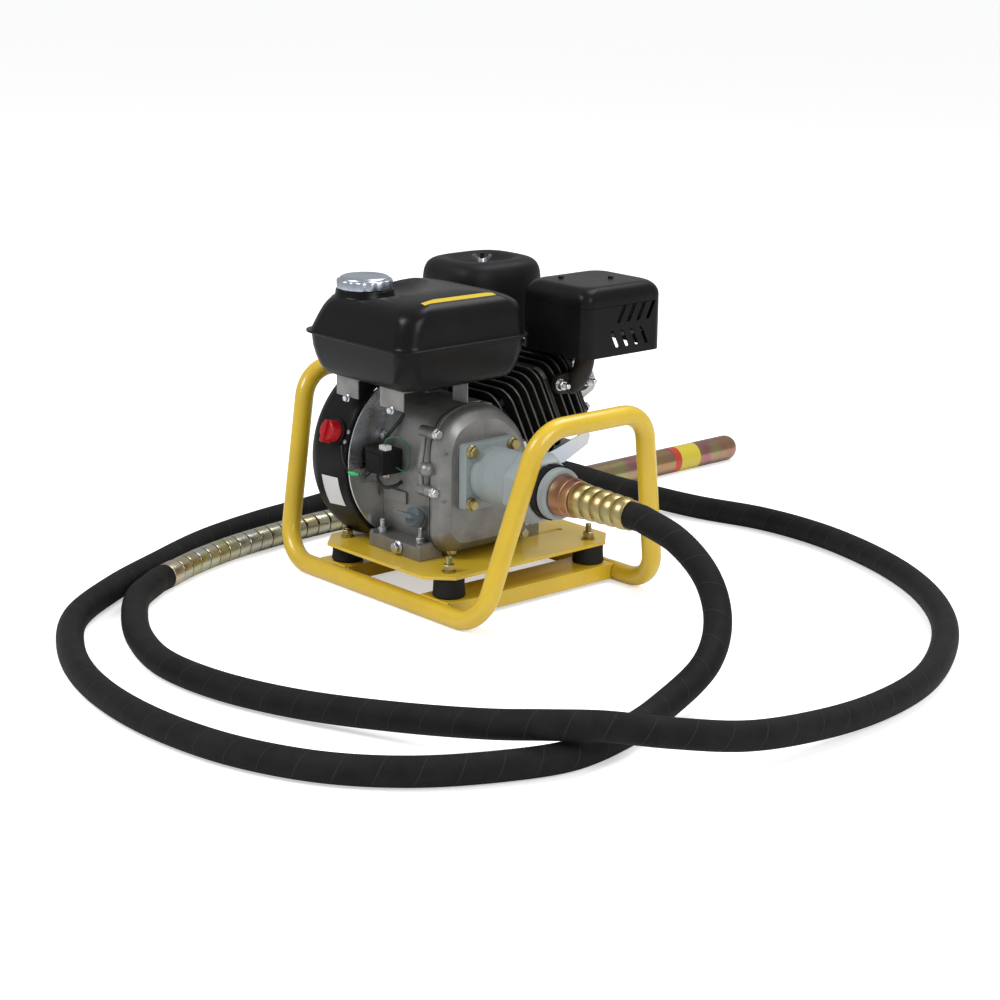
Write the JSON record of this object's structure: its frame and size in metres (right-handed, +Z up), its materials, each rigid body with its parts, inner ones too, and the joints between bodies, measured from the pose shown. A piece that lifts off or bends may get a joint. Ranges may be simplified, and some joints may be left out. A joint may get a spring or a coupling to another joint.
{
  "type": "petrol concrete vibrator",
  "caption": "Petrol engine on a rubber-mounted tubular carrying frame, driving a vibrating poker for concrete through a coupling and a long flexible hose.",
  "frame": {"origin": "on the ground under the middle of the engine unit's bounding box, hose and poker left out", "axes": "+X along the crankshaft towards the drive coupling, +Y towards the cylinder head and muffler, +Z up"},
  "size_m": [1.0493, 1.344, 0.391],
  "materials": {
    "yellow_paint": "gloss yellow paint on steel tube and plate",
    "black_paint": "satin black paint on pressed steel",
    "black_plastic": "moulded, fine grain",
    "rubber": "matte black",
    "cast_aluminium": "die-cast, sand grey",
    "grey_paint": "semi-gloss grey paint on turned steel",
    "steel": "machined",
    "zinc": "bright zinc plated",
    "gold_zinc": "yellow chromated zinc",
    "copper_zinc": "pinkish chromated zinc",
    "chrome": "polished",
    "red_plastic": "moulded red",
    "cast_iron": "heat-darkened",
    "foam": "oiled foam"
  },
  "bodies": {
    "engine_unit": {"air_cleaner_base": "black_plastic", "air_cleaner_cover": "black_plastic", "air_filter_element": "foam", "armoured_sleeve": "zinc", "base_plate": "yellow_paint", "carburettor": "cast_aluminium", "coupling_housing": "grey_paint", "crankcase": "cast_aluminium", "crankcase_cover": "cast_aluminium", "cross_channel_left": "yellow_paint", "cross_channel_right": "yellow_paint", "cylinder_block": "cast_aluminium", "cylinder_head": "cast_aluminium", "exhaust_elbow": "cast_iron", "fan_cover": "black_paint", "flange_bolt_1": "gold_zinc", "flange_bolt_2": "gold_zinc", "flange_bolt_3": "gold_zinc", "flange_bolt_4": "gold_zinc", "frame_tube": "yellow_paint", "hose": "rubber", "hose_adapter": "copper_zinc", "hose_ferrule": "copper_zinc", "hose_fitting": "gold_zinc", "hose_socket": "grey_paint", "lock_ring": "black_plastic", "lower_air_shroud": "zinc", "mount_nut_back_left": "gold_zinc", "mount_nut_back_right": "gold_zinc", "mount_nut_front_left": "gold_zinc", "mount_nut_front_right": "gold_zinc", "muffler_body": "cast_iron", "muffler_shield": "black_paint", "oil_alert_box": "black_plastic", "oil_drain_bolt": "zinc", "poker_tube": "gold_zinc", "recoil_cover": "black_paint", "rocker_cover": "cast_aluminium", "rubber_mount_back_left": "rubber", "rubber_mount_back_right": "rubber", "rubber_mount_front_left": "rubber", "rubber_mount_front_right": "rubber", "shroud_plate": "zinc", "spark_plug": "black_plastic", "tank_bracket_left": "cast_aluminium", "tank_bracket_right": "cast_aluminium", "tank_lower": "black_paint", "tank_upper": "black_paint"},
    "choke": {"choke_lever": "black_plastic"},
    "crank_train": {"clutch_drum": "steel", "crankshaft": "steel", "flywheel": "cast_aluminium"},
    "tank_cap": {"fuel_cap": "chrome"},
    "fuel_cock": {"fuel_cock_lever": "black_plastic"},
    "ignition_switch": {"ignition_knob": "red_plastic"},
    "oil_plug": {"oil_filler_cap": "black_plastic"},
    "poker_eccentric": {"poker_rotor": "steel"},
    "recoil_grip": {"recoil_handle": "black_plastic"},
    "throttle": {"throttle_lever": "zinc"},
    "air_cleaner_nut": {"wing_nut": "zinc"}
  },
  "joints": [
    {"name": "crank_spin", "type": "hinge", "parent": "engine_unit", "child": "crank_train", "pos_m": [0, -0.05275, 0.1595], "axis": [1, 0, 0], "continuous": true},
    {"name": "rotor_spin", "type": "hinge", "parent": "engine_unit", "child": "poker_eccentric", "pos_m": [-0.21727, 0.51069, 0.019], "axis": [-0.0248, 0.9997, 0], "continuous": true},
    {"name": "recoil_pull", "type": "slide", "parent": "engine_unit", "child": "recoil_grip", "axis": [0, 1, 0], "range_m": [0, 0.3], "stiffness_N_per_m": 30, "springref_m": -0.1},
    {"name": "fuel_cap_turn", "type": "hinge", "parent": "engine_unit", "child": "tank_cap", "pos_m": [-0.057, -0.13275, 0.3668], "axis": [0, 0, 1], "range_deg": [0, 90]},
    {"name": "oil_cap_turn", "type": "hinge", "parent": "engine_unit", "child": "oil_plug", "pos_m": [0.0225, -0.11354, 0.10119], "axis": [0, -0.9404, 0.3401], "range_deg": [0, 180]},
    {"name": "wing_nut_turn", "type": "hinge", "parent": "engine_unit", "child": "air_cleaner_nut", "pos_m": [-0.0945, 0.08575, 0.3773], "axis": [0, 0, 1], "range_deg": [0, 180]},
    {"name": "ignition_turn", "type": "hinge", "parent": "engine_unit", "child": "ignition_switch", "pos_m": [-0.076, -0.16527, 0.19824], "axis": [0, -0.9455, 0.3256], "range_deg": [0, 45]},
    {"name": "throttle_turn", "type": "hinge", "parent": "engine_unit", "child": "throttle", "pos_m": [-0.1123, 0.08225, 0.236], "axis": [1, 0, 0], "range_deg": [-35, 0]},
    {"name": "choke_turn", "type": "hinge", "parent": "engine_unit", "child": "choke", "pos_m": [-0.1123, 0.09625, 0.252], "axis": [1, 0, 0], "range_deg": [0, 40]},
    {"name": "fuel_cock_turn", "type": "hinge", "parent": "engine_unit", "child": "fuel_cock", "pos_m": [-0.094, 0.07195, 0.23], "axis": [0, 1, 0], "range_deg": [0, 90]}
  ],
  "couplings": [
    {"joint": "rotor_spin", "follows": "crank_spin", "ratio": 1}
  ]
}
